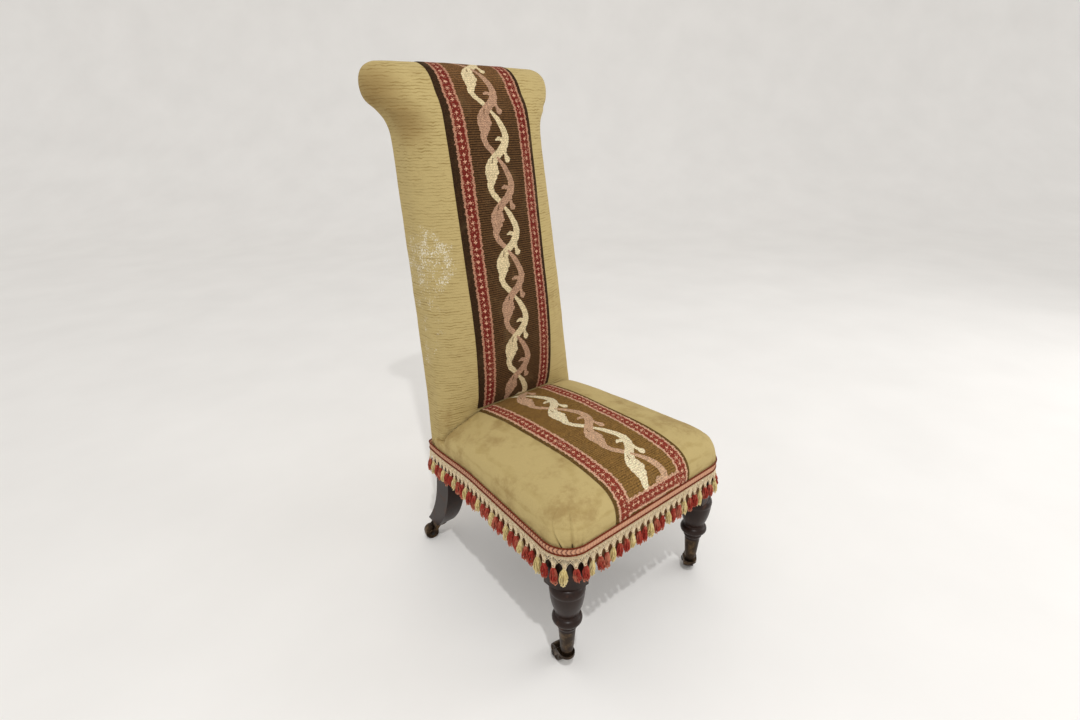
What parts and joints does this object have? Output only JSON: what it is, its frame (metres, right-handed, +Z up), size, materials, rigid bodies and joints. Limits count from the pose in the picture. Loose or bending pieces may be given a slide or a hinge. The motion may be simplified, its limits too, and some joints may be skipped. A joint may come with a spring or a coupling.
{
  "type": "prie-dieu chair",
  "caption": "Low-seated Victorian prayer chair with a tall scrolled back, gold velvet, a needlework band, tasselled fringe, turned legs and castors.",
  "frame": {"origin": "on the floor under the middle of the overall box", "axes": "+Z up, -Y the way the sitter faces, +X to the right seen from the front"},
  "size_m": [0.446, 0.6048, 1.0103],
  "materials": {
    "ebonised_wood": "dark polished, worn",
    "plain_beech": "bare, sawn",
    "linen_webbing": "coarse weave",
    "spring_steel": "oiled wire",
    "hessian": "coarse weave",
    "black_cloth": "matt",
    "horsehair": "felted",
    "gold_velvet": "short pile, worn",
    "needlework": "wool cross stitch",
    "salmon_braid": "woven braid",
    "brown_cord": "twisted",
    "cream_net": "knotted",
    "red_wool": "fluffy",
    "cream_wool": "fluffy",
    "aged_brass": "dark patina, bright on edges",
    "iron_axle": "dull"
  },
  "bodies": {
    "chair": {"front_seat_rail": "plain_beech", "rear_seat_rail": "plain_beech", "left_seat_rail": "plain_beech", "right_seat_rail": "plain_beech", "front_left_leg": "ebonised_wood", "front_right_leg": "ebonised_wood", "left_rear_post": "ebonised_wood", "right_rear_post": "ebonised_wood", "lower_back_rail": "plain_beech", "crest_rail": "plain_beech", "front_left_corner_brace": "plain_beech", "rear_left_corner_brace": "plain_beech", "front_right_corner_brace": "plain_beech", "rear_right_corner_brace": "plain_beech", "seat_webbing": "linen_webbing", "back_webbing": "linen_webbing", "seat_springs": "spring_steel", "spring_canvas": "hessian", "back_canvas": "hessian", "base_cloth": "black_cloth", "seat_stuffing": "horsehair", "back_stuffing": "horsehair", "seat_cover_left": "gold_velvet", "seat_cover_right": "gold_velvet", "seat_cover_band": "needlework", "back_cover_left": "gold_velvet", "back_cover_right": "gold_velvet", "back_cover_band": "needlework", "outside_back_cover": "gold_velvet", "gimp_braid": "salmon_braid", "gimp_cords": "brown_cord", "fringe_net": "cream_net", "red_tassels": "red_wool", "cream_tassels": "cream_wool", "front_left_castor_cup": "aged_brass", "front_right_castor_cup": "aged_brass", "rear_left_castor_plate": "aged_brass", "rear_right_castor_plate": "aged_brass"},
    "front_left_castor_fork": {"front_left_castor_horn": "aged_brass", "front_left_castor_axle": "iron_axle"},
    "front_left_castor_roller": {"front_left_castor_wheel": "aged_brass"},
    "front_right_castor_fork": {"front_right_castor_horn": "aged_brass", "front_right_castor_axle": "iron_axle"},
    "front_right_castor_roller": {"front_right_castor_wheel": "aged_brass"},
    "rear_left_castor_fork": {"rear_left_castor_horn": "aged_brass", "rear_left_castor_axle": "iron_axle"},
    "rear_left_castor_roller": {"rear_left_castor_wheel": "aged_brass"},
    "rear_right_castor_fork": {"rear_right_castor_horn": "aged_brass", "rear_right_castor_axle": "iron_axle"},
    "rear_right_castor_roller": {"rear_right_castor_wheel": "aged_brass"}
  },
  "joints": [
    {"name": "front_left_castor_swivel", "type": "hinge", "parent": "chair", "child": "front_left_castor_fork", "pos_m": [-0.178, -0.26175, 0.0395], "axis": [0, 0, 1], "continuous": true},
    {"name": "front_left_castor_roll", "type": "hinge", "parent": "front_left_castor_fork", "child": "front_left_castor_roller", "pos_m": [-0.17323, -0.23721, 0.016], "axis": [-0.9816, 0.1908, 0], "continuous": true},
    {"name": "front_right_castor_swivel", "type": "hinge", "parent": "chair", "child": "front_right_castor_fork", "pos_m": [0.178, -0.26175, 0.0395], "axis": [0, 0, 1], "continuous": true},
    {"name": "front_right_castor_roll", "type": "hinge", "parent": "front_right_castor_fork", "child": "front_right_castor_roller", "pos_m": [0.19756, -0.24619, 0.016], "axis": [-0.6225, 0.7826, 0], "continuous": true},
    {"name": "rear_left_castor_swivel", "type": "hinge", "parent": "chair", "child": "rear_left_castor_fork", "pos_m": [-0.1615, 0.20075, 0.0395], "axis": [0, 0, 1], "continuous": true},
    {"name": "rear_left_castor_roll", "type": "hinge", "parent": "rear_left_castor_fork", "child": "rear_left_castor_roller", "pos_m": [-0.18586, 0.20637, 0.016], "axis": [-0.225, -0.9744, 0], "continuous": true},
    {"name": "rear_right_castor_swivel", "type": "hinge", "parent": "chair", "child": "rear_right_castor_fork", "pos_m": [0.1615, 0.20075, 0.0395], "axis": [0, 0, 1], "continuous": true},
    {"name": "rear_right_castor_roll", "type": "hinge", "parent": "rear_right_castor_fork", "child": "rear_right_castor_roller", "pos_m": [0.174, 0.2224, 0.016], "axis": [-0.866, 0.5, 0], "continuous": true}
  ]
}
